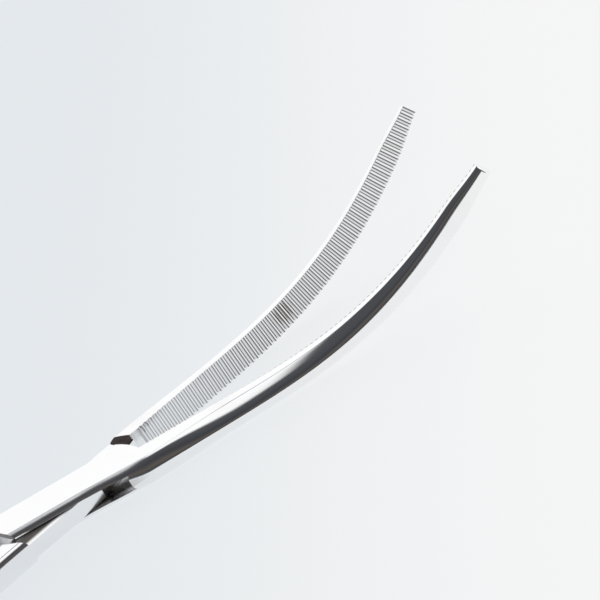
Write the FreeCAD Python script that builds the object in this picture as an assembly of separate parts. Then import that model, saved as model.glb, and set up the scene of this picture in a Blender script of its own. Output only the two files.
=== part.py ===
import FreeCAD, Part
import math
import os

from FreeCAD import Vector

"""Curved hemostat forceps, fully serrated, with a box lock, ratchet and finger rings.

Millimetres, +Z up. X runs from the pivot towards the tips, and the jaws curve up towards +Z.
Both halves are laid out closed about the pivot axis, which is the Z axis, and are then swung
apart by half the resting angle each. The instrument lies on its box lock and its rings, at z = 0.

The slotted half carries the box: its jaw is on the -Y side and its shank on the +Y side.
The tongued half passes through the slot: its jaw is on the +Y side and its shank on the -Y side.
Seen from above, each half looks the same after half a turn about the pivot, up to the jaw roots.
"""

# Resting position
RESTING_ANGLE = 21.4        # degrees between the two halves as the instrument lies
THICKNESS = 3.6             # box lock, shanks and rings, measured along Z

# Box lock, seen from above
WAIST_WIDTH = 5.9           # across the box from the shanks to its shoulders
WAIST_FRONT = 5.0           # pivot to where the waist starts to flare
FLARE_LENGTH = 1.5          # from the waist to the full shoulder width
SHOULDER_WIDTH = 7.6        # across both jaws at their roots
SHOULDER_CORNER = 6.7       # pivot to the outer corner of a box wall
SHOULDER_POINT = 9.9        # pivot to the inner point of a box wall, at the jaw faces
SHOULDER_BULGE = 0.3        # how far the end of a box wall bows out
BOX_FRONT = 10.6            # pivot to the section where the jaws start to taper
BOX_REAR = 11.0             # pivot to the section where the shanks begin
EDGE_ROUND = 1.0            # rounding of the long edges along the waist
SHOULDER_ROUND = 1.5        # how far the rounding reaches in across the shoulders

# Slot, tongue and pivot pin
SLOT_HEIGHT = 2.1
SLOT_END = 8.0              # pivot to the blind end of the slot at the flank
SLOT_FLARE = 3.1            # how much further out the blind end lies at the jaw faces
TONGUE_CLEARANCE = 0.05     # between the tongue and each wall of the slot
TONGUE_RELIEF = 2.9         # pivot to where the tongue's corner is cut away for the slot's end
LOCK_GAP = 0.1              # between the two halves where they meet when closed
PIN_DIAMETER = 3.0
PIN_CLEARANCE = 0.03        # radial, in the tongue's bore

# Jaws, measured along their centre line
JAW_LENGTH = 63.6           # pivot to tip
BEND_START = 21.4           # pivot to where the centre line starts to turn up
BEND_LENGTH = 41.7          # over which it turns, most sharply in the middle
BEND_ANGLE = 30.4           # degrees that it turns over the whole of that length
FACE_WIDTH_TIP = 2.7        # the face is as wide as the box is thick at its root
FACE_WIDTH_POWER = 2.0      # how late the face narrows
JAW_DEPTH_TIP = 1.35        # one jaw, from its face to its back, at the tip
TIP_ROUND = 0.9             # rounding of the closed tips
TIP_SHOULDER = 0.4          # how far the rounding starts outside a jaw's depth
JAW_SHAPED_BY = 24.0        # pivot to where the section is fully rounded
BACK_FLAT = 0.42            # share of a jaw's depth that stays flat on its sides
BACK_LAND = 0.12            # share of a jaw's width that stays flat on its back

# Serrations across the jaw faces
FIRST_GROOVE = 11.5         # pivot to the middle of the first groove
TOOTH_PITCH = 0.75
TOOTH_DEPTH = 0.24
TOOTH_LAND = 0.1            # flat on each crest and in each groove
TOOTH_CLEARANCE = 0.05      # between the two rows when the jaws are closed

# Shanks, closed: places across the instrument of one shank's middle
SHANK_STATIONS = (25.0, 45.0, 70.0, 90.0)
SHANK_OFFSETS = (2.4, 4.7, 8.3, 11.0)
SHANK_WIDTH = 3.6
SHANK_ROUND = 1.25          # rounding of a shank's long edges
SHANK_INNER_ROUND = 0.1     # the same on the inner side where the shank leaves the box

# Finger rings, of stock as thick as the shanks with broad chamfers
RING_CENTRE_X = 101.5
RING_CENTRE_Y = 22.0
RING_TILT = 8.5             # degrees between the ring's long axis and X
RING_LENGTH = 24.4          # along the middle of the ring's stock
RING_WIDTH = 19.6
RING_END_RADIUS = 8.6
RING_STOCK = 3.8            # width of the stock, in the plane of the ring
RING_CHAMFER = 1.1

# Ratchet bars
RATCHET_RADIUS = 80.0       # pivot to the middle of the bars
RATCHET_WIDTH = 4.4
RATCHET_REACH = 3.0         # how far a bar passes beyond the middle when the jaws are closed
RATCHET_ROOT = 2.0          # length of a bar's full-height root, from the shank's side
RATCHET_GAP = 0.1           # between the crests of the two bars as they pass
RATCHET_TEETH = 4
RATCHET_PITCH = 1.3
RATCHET_TOOTH = 0.5
RATCHET_THICKNESS = 1.6

HALF_THICKNESS = THICKNESS / 2
HALF_WAIST = WAIST_WIDTH / 2
HALF_SHOULDER = SHOULDER_WIDTH / 2
JAW_SPAN = 3.5              # length of one straight span of the bent jaws
HALF_TURN = 180
UP = Vector(0, 0, 1)
ORIGIN = Vector(0, 0, 0)
QUARTER_PULL = 4 / 3 * (math.sqrt(2) - 1)   # brings a cubic curve closest to a quarter circle
BEND_STEPS = 200


def bend_angle(along):
    """Slope of the jaw's centre line, in radians, at a distance from the pivot."""
    share = min(max((along - BEND_START) / BEND_LENGTH, 0.0), 1.0)
    return math.radians(BEND_ANGLE) * (3 * share**2 - 2 * share**3)


def centre_frame(along):
    """Point of the jaw's centre line, its direction and the direction across the jaw face."""
    straight = min(along, BEND_START)
    x, z = straight, 0.0
    step = (along - straight) / BEND_STEPS
    for index in range(BEND_STEPS):
        slope = bend_angle(straight + (index + 0.5) * step)
        x += math.cos(slope) * step
        z += math.sin(slope) * step
    slope = bend_angle(along)
    forward = Vector(math.cos(slope), 0, math.sin(slope))
    across = Vector(-math.sin(slope), 0, math.cos(slope))
    return Vector(x, 0, z), forward, across


def quarter(start, corner, end):
    """Quarter of an ellipse from start to end, bulging towards the corner."""
    curve = Part.BezierCurve()
    leaving = start + (corner - start) * QUARTER_PULL
    arriving = end + (corner - end) * QUARTER_PULL
    curve.setPoles([start, leaving, arriving, end])
    return curve.toShape()


def rounded_section(place, side, up, low, high, half_height, flat_low, flat_high, land):
    """Closed section from low to high along side, with its corners rounded as ellipses.

    flat_low and flat_high are how far the corners reach in from each end, and land is
    half of what stays straight along each end.
    """
    def at(across, height):
        return place + side * across + up * height

    top, bottom = half_height, -half_height
    edges = [
        Part.makeLine(at(low + flat_low, top), at(high - flat_high, top)),
        quarter(at(high - flat_high, top), at(high, top), at(high, land)),
        Part.makeLine(at(high, land), at(high, -land)),
        quarter(at(high, -land), at(high, bottom), at(high - flat_high, bottom)),
        Part.makeLine(at(high - flat_high, bottom), at(low + flat_low, bottom)),
        quarter(at(low + flat_low, bottom), at(low, bottom), at(low, -land)),
        Part.makeLine(at(low, -land), at(low, land)),
        quarter(at(low, land), at(low, top), at(low + flat_low, top)),
    ]
    return Part.Wire(edges)


def outline_prism(edges, bottom, top):
    """Solid between two heights with the given closed outline, drawn at z = 0."""
    face = Part.Face(Part.Wire(edges))
    face.translate(Vector(0, 0, bottom))
    return face.extrude(Vector(0, 0, top - bottom))


def polygon_prism(points, bottom, top):
    """Solid between two heights over a polygon of (x, y) points."""
    corners = [Vector(x, y, 0) for x, y in points]
    return outline_prism([Part.makePolygon(corners + corners[:1])], bottom, top)


def half_turned(shape):
    """Copy of the shape, half a turn about the pivot axis."""
    copy = shape.copy()
    copy.rotate(ORIGIN, UP, HALF_TURN)
    return copy


def mirrored(shape):
    """Copy of the shape on the other side of the instrument's middle."""
    return shape.mirror(ORIGIN, Vector(0, 1, 0))


def eased(share):
    """Share from 0 to 1 that leaves both ends gently."""
    held = min(max(share, 0.0), 1.0)
    return 3 * held**2 - 2 * held**3


def jaw_depth(along):
    """Depth of one jaw from its face to its back."""
    share = max((along - BOX_FRONT) / (JAW_LENGTH - BOX_FRONT), 0.0)
    return HALF_SHOULDER + (JAW_DEPTH_TIP - HALF_SHOULDER) * share


def jaw_face_width(along):
    """Width of the jaw face, across the instrument's thickness."""
    share = max((along - BOX_FRONT) / (JAW_LENGTH - BOX_FRONT), 0.0)
    return THICKNESS + (FACE_WIDTH_TIP - THICKNESS) * share**FACE_WIDTH_POWER


def closed_section(along):
    """Section of the closed instrument ahead of its shanks, at a distance from the pivot."""
    place, forward, across = centre_frame(along)
    flared = eased((along - WAIST_FRONT) / FLARE_LENGTH)
    shaped = eased((along - BOX_FRONT) / (JAW_SHAPED_BY - BOX_FRONT))
    full = jaw_depth(along)
    depth = HALF_WAIST + (full - HALF_WAIST) * flared
    height = jaw_face_width(along) / 2
    rounding = EDGE_ROUND + (SHOULDER_ROUND - EDGE_ROUND) * flared
    rounding += (full * (1 - BACK_FLAT) - rounding) * shaped
    land = height - EDGE_ROUND
    land += (height * BACK_LAND - land) * flared
    return rounded_section(
        place, Vector(0, 1, 0), across, -depth, depth, height, rounding, rounding, land)


def closed_front():
    """Box lock and both jaws as one closed body, from the shanks to the rounded tips."""
    flare = [WAIST_FRONT + FLARE_LENGTH * share for share in (0, 0.25, 0.5, 0.75, 1)]
    spans = math.ceil((JAW_LENGTH - BOX_FRONT) / JAW_SPAN)
    taper = [flare[-1]]
    taper += [BOX_FRONT + (JAW_LENGTH - BOX_FRONT) * index / spans for index in range(spans + 1)]
    waist = Part.makeLoft([closed_section(along) for along in (-BOX_REAR, WAIST_FRONT)], True)
    shoulders = Part.makeLoft([closed_section(along) for along in flare], True, False)
    jaws = Part.makeLoft([closed_section(along) for along in taper], True, True)
    return waist.fuse([shoulders, jaws.cut(tip_cutter())])


def tip_cutter():
    """Collar that rounds the closed tips: what lies outside a round-nosed bar."""
    tip, forward, across = centre_frame(JAW_LENGTH)
    base = tip - forward * TIP_ROUND
    nose_radius = JAW_DEPTH_TIP + TIP_SHOULDER
    nose = Part.makeCylinder(nose_radius, TIP_ROUND, base, forward)
    end_edge = [
        edge for edge in nose.Edges if abs((edge.CenterOfMass - tip).dot(forward)) < 1e-6]
    nose = nose.makeFillet(TIP_ROUND * 0.999, end_edge)
    return Part.makeCylinder(2 * nose_radius, 2 * TIP_ROUND, base, forward).cut(nose)


def dividing_edges(shift, face, crest, step):
    """Edges, seen from above, of the line that divides the two halves ahead of the pivot.

    It comes back along the jaws at y = crest, steps to y = face at the root of the jaws,
    and turns out along the bowed end of the box wall. shift moves that end forwards.
    """
    far = JAW_LENGTH + HALF_SHOULDER
    point = Vector(SHOULDER_POINT, 0, 0)
    corner = Vector(SHOULDER_CORNER, HALF_SHOULDER, 0)
    chord = corner - point
    outward = Vector(chord.y, -chord.x, 0).normalize()
    point = point + outward * shift
    corner = corner + outward * shift
    middle = (point + corner) * 0.5 + outward * SHOULDER_BULGE
    start = Vector(point.x - face * chord.x / chord.y, face, 0)
    outside = corner + Vector(0, HALF_SHOULDER, 0)
    stops = [Vector(far, crest, 0), start]
    if crest != face:
        stops[1:1] = [Vector(step, crest, 0), Vector(step, face, 0)]
    edges = [Part.makeLine(a, b) for a, b in zip(stops, stops[1:])]
    edges.append(Part.Arc(start, middle, corner).toShape())
    edges.append(Part.makeLine(corner, outside))
    return edges, stops[0], outside


def region(shift, face, crest, step, closing):
    """Prism bounded by a dividing line and closed through the given far corners."""
    edges, first, last = dividing_edges(shift, face, crest, step)
    stops = [last] + [Vector(x, y, 0) for x, y in closing] + [first]
    edges += [Part.makeLine(a, b) for a, b in zip(stops, stops[1:])]
    reach = JAW_LENGTH
    return outline_prism(edges, -reach, reach)


def groove_cutters(first, lowest, highest):
    """Trapezoid bars that cut one row of serrations, from y = lowest up to y = highest."""
    flank = (TOOTH_PITCH - 2 * TOOTH_LAND) / 2
    over = 0.1
    half_land = TOOTH_LAND / 2
    mouth = half_land + flank * (1 + over)
    outside = lowest - (highest - lowest) * over
    reach = THICKNESS
    bars = []
    along = first
    while along < JAW_LENGTH + TOOTH_PITCH:
        place, forward, across = centre_frame(along)
        corners = [(-mouth, outside), (-half_land, highest), (half_land, highest), (mouth, outside)]
        points = [
            place + forward * s + Vector(0, y, 0) - across * reach for s, y in corners
        ]
        face = Part.Face(Part.makePolygon(points + points[:1]))
        bars.append(face.extrude(across * (2 * reach)))
        along += TOOTH_PITCH
    return bars


def shank():
    """One shank of the closed instrument on the +Y side, from the box to the ring."""
    inner = LOCK_GAP / 2
    middle = (HALF_WAIST + inner) / 2
    xs = [-BOX_REAR] + [-x for x in SHANK_STATIONS] + [-ring_side()[0]]
    ys = [middle] + list(SHANK_OFFSETS) + [ring_side()[1]]
    widths = [HALF_WAIST - inner] + [SHANK_WIDTH] * (len(SHANK_STATIONS) + 1)
    path = Part.BSplineCurve()
    path.interpolate(
        [Vector(x, y, 0) for x, y in zip(xs, ys)],
        InitialTangent=Vector(-1, 0, 0),
        FinalTangent=ring_axis() * -1)
    sections = []
    for index, (x, y, width) in enumerate(zip(xs, ys, widths)):
        place = Vector(x, y, 0)
        forward = path.tangent(path.parameter(place))[0]
        side = UP.cross(forward) * -1
        half = width / 2
        first = index == 0
        inner_corner = SHANK_INNER_ROUND if first else SHANK_ROUND
        outer_corner = EDGE_ROUND if first else SHANK_ROUND
        sections.append(rounded_section(
            place, side, UP, -half, half, HALF_THICKNESS, inner_corner, outer_corner,
            HALF_THICKNESS - outer_corner))
    return Part.makeLoft(sections, True, True)


def ring_axis():
    """Direction of a ring's long axis on the +Y side, from the ring towards the shank."""
    tilt = math.radians(RING_TILT)
    return Vector(math.cos(tilt), -math.sin(tilt), 0)


def ring_side():
    """Distance behind the pivot and distance across of the ring's inner side."""
    place = Vector(-RING_CENTRE_X, RING_CENTRE_Y, 0)
    side = place - UP.cross(ring_axis()) * (RING_WIDTH / 2)
    return -side.x, side.y


def finger_ring():
    """Oval ring on the +Y side: four arcs of chamfered stock, tangent to one another."""
    long_axis = ring_axis()
    short_axis = UP.cross(long_axis)
    centre = Vector(-RING_CENTRE_X, RING_CENTRE_Y, 0)
    half_length, half_width = RING_LENGTH / 2, RING_WIDTH / 2
    end_offset = half_length - RING_END_RADIUS
    side_radius = (
        (end_offset**2 + half_width**2 - RING_END_RADIUS**2) / (2 * (half_width - RING_END_RADIUS)))
    side_offset = side_radius - half_width
    side_sweep = 2 * math.degrees(math.atan2(end_offset, side_offset))
    end_sweep = HALF_TURN - side_sweep
    pieces = []
    for sign in (1, -1):
        hub = centre + long_axis * (sign * end_offset)
        pieces.append(ring_arc(hub, long_axis * sign, RING_END_RADIUS, end_sweep))
        hub = centre + short_axis * (-sign * side_offset)
        pieces.append(ring_arc(hub, short_axis * sign, side_radius, side_sweep))
    return pieces[0].fuse(pieces[1:]).removeSplitter()


def ring_arc(hub, towards, radius, sweep):
    """Arc of ring stock about a hub, centred on a direction."""
    side, top = RING_STOCK / 2, HALF_THICKNESS
    upper = [(side, top - RING_CHAMFER), (side - RING_CHAMFER, top)]
    upper += [(-across, height) for across, height in reversed(upper)]
    outline = upper + [(-across, -height) for across, height in upper]
    points = [hub + towards * (radius + across) + UP * height for across, height in outline]
    face = Part.Face(Part.makePolygon(points + points[:1]))
    face.rotate(hub, UP, -sweep / 2)
    return face.revolve(hub, UP, sweep)


def ratchet_bar(level):
    """Ratchet bar of the +Y shank, below (-1) or above (+1) the bar of the other shank."""
    outer = RATCHET_RADIUS + RATCHET_WIDTH / 2
    inner = RATCHET_RADIUS - RATCHET_WIDTH / 2
    shank_middle = SHANK_OFFSETS[2] + (RATCHET_RADIUS - SHANK_STATIONS[2]) * (
        (SHANK_OFFSETS[3] - SHANK_OFFSETS[2]) / (SHANK_STATIONS[3] - SHANK_STATIONS[2]))
    shank_side = shank_middle - SHANK_WIDTH / 2
    full = 360

    def sector(from_y, to_y, low, high):
        """Arc of bar between two offsets from the middle of the instrument."""
        start = math.degrees(from_y / RATCHET_RADIUS)
        sweep = math.degrees((from_y - to_y) / RATCHET_RADIUS)
        base = Vector(0, 0, low)
        solid = Part.makeCylinder(outer, high - low, base, UP, sweep)
        solid = solid.cut(Part.makeCylinder(inner, high - low, base, UP, full))
        solid.rotate(ORIGIN, UP, HALF_TURN - start)
        return solid

    near = RATCHET_GAP / 2
    far = near + RATCHET_THICKNESS
    low, high = (near, far) if level > 0 else (-far, -near)
    bar = sector(shank_middle, -RATCHET_REACH, low, high)
    root = sector(shank_middle, shank_side - RATCHET_ROOT, -far, far)
    cutters = []
    for index in range(RATCHET_TEETH):
        angle = (-RATCHET_REACH + (index + 1) * RATCHET_PITCH) / RATCHET_RADIUS
        steep = Vector(-math.cos(angle), math.sin(angle), 0)
        along = Vector(math.sin(angle), math.cos(angle), 0)
        crest = near * level
        base = steep * (inner - RATCHET_GAP)
        points = [
            base + UP * (crest - RATCHET_GAP * level),
            base + UP * (crest + RATCHET_TOOTH * level),
            base - along * RATCHET_PITCH + UP * (crest - RATCHET_GAP * level),
        ]
        face = Part.Face(Part.makePolygon(points + points[:1]))
        cutters.append(face.extrude(steep * (RATCHET_WIDTH + 2 * RATCHET_GAP)))
    return bar.cut(cutters).fuse(root)


def tongue(closed):
    """Thin tongue of the tongued half, which passes through the slot."""
    half_height = SLOT_HEIGHT / 2 - TONGUE_CLEARANCE
    far = SHOULDER_POINT + LOCK_GAP
    relief = HALF_WAIST
    plan = [
        (far, 0), (far, HALF_SHOULDER), (SHOULDER_CORNER, HALF_SHOULDER),
        (-TONGUE_RELIEF, HALF_SHOULDER), (-TONGUE_RELIEF, relief),
    ]
    plan += [(-x, -y) for x, y in plan]
    bar = polygon_prism(plan, -half_height, half_height)
    bore = Part.makeCylinder(
        PIN_DIAMETER / 2 + PIN_CLEARANCE, THICKNESS, Vector(0, 0, -HALF_THICKNESS))
    return bar.common(closed).cut(bore)


def slot_cutter():
    """Space of the slot, seen from above a slanted strip with blind ends."""
    wide = HALF_SHOULDER + 1
    slope = SLOT_FLARE / HALF_WAIST
    near = SLOT_END - (wide - HALF_WAIST) * slope
    far = SLOT_END + (wide + HALF_WAIST) * slope
    plan = [(near, -wide), (far, wide), (-near, wide), (-far, -wide)]
    return polygon_prism(plan, -SLOT_HEIGHT / 2, SLOT_HEIGHT / 2)


def slotted_half(closed):
    """Slotted half, closed: jaw on -Y, box walls across the middle, shank on +Y."""
    crest = (TOOTH_DEPTH - TOOTH_CLEARANCE) / 2
    wide = 2 * HALF_SHOULDER
    front = region(0, -LOCK_GAP / 2, crest, FIRST_GROOVE - TOOTH_LAND / 2,
                   [(0, wide), (0, -wide), (JAW_LENGTH + HALF_SHOULDER, -wide)])
    bars = groove_cutters(FIRST_GROOVE + TOOTH_PITCH / 2, -crest, crest + TOOTH_CLEARANCE)
    rear = half_turned(region(0, -LOCK_GAP / 2, -LOCK_GAP / 2, FIRST_GROOVE,
                              [(0, wide), (0, -wide), (JAW_LENGTH + HALF_SHOULDER, -wide)]))
    body = closed.common(front).fuse(closed.common(rear))
    bore = Part.makeCylinder(PIN_DIAMETER / 2, THICKNESS, Vector(0, 0, -HALF_THICKNESS))
    body = body.cut([slot_cutter(), bore] + [mirrored(bar) for bar in bars])
    return body.fuse([shank(), finger_ring(), ratchet_bar(-1)]).removeSplitter()


def tongued_half(closed):
    """Tongued half, closed: jaw on +Y, tongue through the slot, shank on -Y."""
    crest = (TOOTH_DEPTH - TOOTH_CLEARANCE) / 2
    wide = 2 * HALF_SHOULDER
    far = JAW_LENGTH + HALF_SHOULDER
    front = region(LOCK_GAP, LOCK_GAP / 2, -crest, FIRST_GROOVE, [(far, wide)])
    jaw = closed.common(front)
    jaw = jaw.cut(groove_cutters(FIRST_GROOVE, -crest, crest + TOOTH_CLEARANCE))
    rear = half_turned(region(LOCK_GAP, LOCK_GAP / 2, LOCK_GAP / 2, FIRST_GROOVE, [(far, wide)]))
    parts = [
        closed.common(rear), tongue(closed),
        mirrored(shank()), mirrored(finger_ring()), mirrored(ratchet_bar(1)),
    ]
    return jaw.fuse(parts).removeSplitter()


def pivot_pin():
    """Riveted pin, ground flush with the box on both faces."""
    return Part.makeCylinder(PIN_DIAMETER / 2, THICKNESS, Vector(0, 0, -HALF_THICKNESS))


def place_at_rest(shape, swing):
    """Shape swung about the pivot and lifted to lie on z = 0."""
    shape.rotate(ORIGIN, UP, swing)
    shape.translate(Vector(0, 0, HALF_THICKNESS))
    return shape


def main():
    os.makedirs("parts", exist_ok=True)
    closed = closed_front()
    nodes = {
        "slotted_half": place_at_rest(slotted_half(closed), -RESTING_ANGLE / 2),
        "tongued_half": place_at_rest(tongued_half(closed), RESTING_ANGLE / 2),
        "pivot_pin": place_at_rest(pivot_pin(), -RESTING_ANGLE / 2),
    }
    for name, shape in nodes.items():
        shape.exportStep(f"parts/{name}.step")
        box = shape.BoundBox
        print(name, shape.isValid(), len(shape.Solids), round(shape.Volume, 2),
              [round(value, 2) for value in (box.XMin, box.XMax, box.YMin, box.YMax,
                                             box.ZMin, box.ZMax)])


main()
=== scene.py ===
"""Curved hemostat forceps in polished steel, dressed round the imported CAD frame.

Sizes are in millimetres in the forceps' own closed position, as the maker's drawing has them:
X runs from the pivot towards the tips, Z up, and the pivot axis is Z. Each finished half is
then swung to its resting angle, lifted onto its rest face and turned into metres.
"""

import logging
import math
from dataclasses import dataclass, field
from enum import Enum

import bpy
import numpy as np
from mathutils import Matrix, Vector

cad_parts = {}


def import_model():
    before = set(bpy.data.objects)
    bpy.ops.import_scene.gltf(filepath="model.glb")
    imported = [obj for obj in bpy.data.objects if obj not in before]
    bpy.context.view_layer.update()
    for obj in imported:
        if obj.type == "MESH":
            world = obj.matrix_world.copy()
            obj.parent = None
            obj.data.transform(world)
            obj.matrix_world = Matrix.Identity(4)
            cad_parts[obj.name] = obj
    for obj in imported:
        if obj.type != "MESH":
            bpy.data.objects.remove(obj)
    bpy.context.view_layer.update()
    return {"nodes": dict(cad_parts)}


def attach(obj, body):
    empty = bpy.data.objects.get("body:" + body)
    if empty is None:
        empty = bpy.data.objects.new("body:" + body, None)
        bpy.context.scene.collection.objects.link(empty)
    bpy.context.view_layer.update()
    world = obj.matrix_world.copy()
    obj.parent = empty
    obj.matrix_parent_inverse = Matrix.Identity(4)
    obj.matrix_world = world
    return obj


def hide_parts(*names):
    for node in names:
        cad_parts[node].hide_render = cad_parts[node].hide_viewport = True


Socket = bpy.types.NodeSocket
Triple = tuple[float, float, float]
Colour = Triple
Stretch = tuple[float, float]
Feed = Socket | float | tuple[float, ...]
Edge = tuple[np.ndarray, np.ndarray, np.ndarray]

LOG = logging.getLogger("forceps")
METRES_PER_MM = 0.001

THICKNESS = 3.6           # box lock, shanks and rings, measured along Z
HALF_WAIST = 2.95         # middle to the flank of the box
HALF_SHOULDER = 3.8       # middle to the flank of both jaws at their roots
WALL_CORNER = 6.7         # pivot to the outer corner of a box wall
WALL_POINT = 9.9          # pivot to the inner point of a box wall, at the jaw faces
BOX_REAR = 11.0           # pivot to where the shanks begin
LOCK_GAP = 0.1            # between the two halves where they meet when closed
SHANK_WIDTH = 3.6
EDGE_ROUND = 1.0          # rounding of the box's long edges
TINY = 0.001              # keeps two corners apart that would share one place
OVERLAP = 1.0             # how far a cutting solid stands out of what it cuts


class Operation(Enum):
    """What one solid does to another."""

    CUT = "DIFFERENCE"
    JOIN = "UNION"
    KEEP_SHARED = "INTERSECT"


class Half(Enum):
    """The two forged halves: the CAD node, its body, and the side of its jaw."""

    SLOTTED = ("slotted_half", "slotted", -1)
    TONGUED = ("tongued_half", "tongued", 1)

    def __init__(self, node: str, body: str, side: int) -> None:
        """Keeps the names of node and body, and the side: -1 for -Y, 1 for +Y."""
        self.node, self.body, self.side = node, body, side


def metres(sizes: tuple[float, ...]) -> tuple[float, ...]:
    """Millimetres turned into metres."""
    return tuple(METRES_PER_MM * size for size in sizes)


def eased(share: np.ndarray) -> np.ndarray:
    """Smooth step: 3 s squared minus 2 s cubed, with s held between 0 and 1."""
    held = np.clip(share, 0.0, 1.0)
    return 3 * held**2 - 2 * held**3


def placed(name: str, data: bpy.types.ID) -> bpy.types.Object:
    """Object made of the data and linked to the scene.

    Args:
        name: Name of the object.
        data: Its mesh or camera.

    Returns:
        The object.
    """
    piece = bpy.data.objects.new(name, data)
    bpy.context.scene.collection.objects.link(piece)
    return piece


def shell(name: str, grid: np.ndarray, looped_rows: bool = False) -> bpy.types.Object:
    """Makes a closed mesh from a grid of points whose columns run round a section.

    Quads join neighbours, row to row and round the columns. The two end rows are closed by
    one face each, unless the rows run in a loop as well.

    Args:
        name: Name of the object.
        grid: Points of shape (rows, columns, 3).
        looped_rows: True where the last row meets the first, as in a ring.

    Returns:
        The object, linked to the scene, its faces pointing outwards.
    """
    rows, columns = grid.shape[:2]
    index = np.arange(rows * columns).reshape(rows, columns)
    lanes = rows if looped_rows else rows - 1
    below, above = index[:lanes], np.roll(index, -1, axis=0)[:lanes]
    quads = np.stack(
        [below, above, np.roll(above, -1, axis=1), np.roll(below, -1, axis=1)], axis=-1)
    faces = quads.reshape(-1, 4).tolist()
    if not looped_rows:
        faces += [index[0].tolist(), index[-1][::-1].tolist()]
    mesh = bpy.data.meshes.new(name)
    mesh.from_pydata(grid.reshape(-1, 3).tolist(), [], faces)
    mesh.validate()
    turn_faces_out(mesh)
    return placed(name, mesh)


def turn_faces_out(mesh: bpy.types.Mesh) -> None:
    """Flips a closed mesh whose enclosed volume comes out negative.

    The volume is the sum, over its triangles, of a corner dotted with the cross product of
    the other two, divided by six.

    Args:
        mesh: The closed mesh.
    """
    mesh.calc_loop_triangles()
    corners = np.zeros(len(mesh.loop_triangles) * 3, dtype=np.int32)
    mesh.loop_triangles.foreach_get("vertices", corners)
    places = np.zeros(len(mesh.vertices) * 3)
    mesh.vertices.foreach_get("co", places)
    first, second, third = places.reshape(-1, 3)[corners.reshape(-1, 3)].transpose(1, 0, 2)
    if np.einsum("ij,ij->i", first, np.cross(second, third)).sum() < 0:
        mesh.flip_normals()


def combine(piece: bpy.types.Object, tool: bpy.types.Object, operation: Operation) -> None:
    """Applies one solid to another and removes the tool.

    Args:
        piece: The solid that is changed.
        tool: The solid that is used up.
        operation: Cut, join or keep what they share.
    """
    step = piece.modifiers.new("step", "BOOLEAN")
    step.solver = "EXACT"
    step.operation = operation.value
    step.object = tool
    settle(piece)
    old = tool.data
    bpy.data.objects.remove(tool)
    bpy.data.meshes.remove(old)


def settle(piece: bpy.types.Object) -> None:
    """Gives a piece the mesh that its modifiers make of it, and drops the modifiers.

    Args:
        piece: The piece.
    """
    graph = bpy.context.evaluated_depsgraph_get()
    mesh = bpy.data.meshes.new_from_object(piece.evaluated_get(graph))
    old = piece.data
    piece.modifiers.clear()
    piece.data = mesh
    mesh.name = piece.name
    bpy.data.meshes.remove(old)


@dataclass(frozen=True)
class RoundedSection:
    """Section with two flat sides and four corners that are quarters of an ellipse."""

    corner_steps: int = 12
    support: float = 0.03

    def points(
        self, low: Edge, high: Edge, half_height: np.ndarray, fullness: float | np.ndarray = 2.0
    ) -> tuple[np.ndarray, np.ndarray]:
        """Across and height of each point round the section, for each row.

        A corner is its centre plus the rounding times the cosine and sine of an angle from 0
        to 90 degrees, each raised to the power of 2 over the fullness. A support point lies a
        hair beyond each end of it, on the straight sides, so that the smooth shading stays
        flat there.

        Args:
            low: For each row, how far the low side lies from the middle, how far its corners
                reach in, and half of what stays straight along it.
            high: The same for the high side.
            half_height: Half the height of each row.
            fullness: 2 for quarters of an ellipse, towards 1 for straight bevels.

        Returns:
            Two arrays of shape (rows, points).
        """
        angle = np.linspace(0.0, math.pi / 2, self.corner_steps + 1)
        power = 2.0 / np.broadcast_to(fullness, half_height.shape)[:, None]
        falling = np.clip(np.concatenate([[1.0], np.cos(angle), [0.0]]), 0.0, 1.0)
        rising = np.clip(np.concatenate([[0.0], np.sin(angle), [1.0]]), 0.0, 1.0)
        reach, rise = falling**power, rising**power
        over_side = np.zeros_like(falling)
        over_side[-1] = self.support
        over_end = np.zeros_like(falling)
        over_end[0] = self.support
        across, height = [], []
        for edge, side, level in ((high, 1, 1), (low, -1, 1), (low, -1, -1), (high, 1, -1)):
            distance, rounding, land = edge
            order = slice(None) if side * level > 0 else slice(None, None, -1)
            centre = side * distance - side * rounding
            out = centre[:, None] + side * (rounding[:, None] * reach - over_side)
            up = level * (land[:, None] + (half_height - land)[:, None] * rise - over_end)
            across.append(out[:, order])
            height.append(up[:, order])
        return np.concatenate(across, axis=1), np.concatenate(height, axis=1)


@dataclass(frozen=True)
class JawLine:
    """Centre line of the jaws: straight from the pivot, then curving up towards the tips."""

    length: float = 63.6
    bend_start: float = 21.4
    bend_length: float = 41.7
    bend_angle: float = 30.4
    beyond: float = 12.0
    step: float = 0.02

    def slope(self, along: np.ndarray) -> np.ndarray:
        """Slope in radians: the whole angle times the smooth step along the bend."""
        return math.radians(self.bend_angle) * eased((along - self.bend_start) / self.bend_length)

    def place(self, along: np.ndarray, across: np.ndarray, offset: np.ndarray) -> np.ndarray:
        """Points at a distance along the line, across its face and off the middle plane.

        The line is the running sum of the cosine and sine of its slope. A point is the line's
        point, plus across times the normal in the XZ plane, plus the offset along Y.

        Args:
            along: Distance from the pivot.
            across: Distance off the line in the plane of the bend.
            offset: Distance along Y.

        Returns:
            Points with a last axis of 3.
        """
        along, across, offset = np.broadcast_arrays(along, across, offset)
        stops = np.arange(0.0, self.length + self.beyond, self.step)
        slopes = self.slope(stops + self.step / 2)
        run = np.concatenate([[0.0], np.cumsum(np.cos(slopes)) * self.step])[:-1]
        climb = np.concatenate([[0.0], np.cumsum(np.sin(slopes)) * self.step])[:-1]
        ahead = along > 0
        x = np.where(ahead, np.interp(along, stops, run), along)
        z = np.where(ahead, np.interp(along, stops, climb), 0.0)
        slope = self.slope(along)
        return np.stack(
            [x - across * np.sin(slope), offset, z + across * np.cos(slope)], axis=-1)


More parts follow.
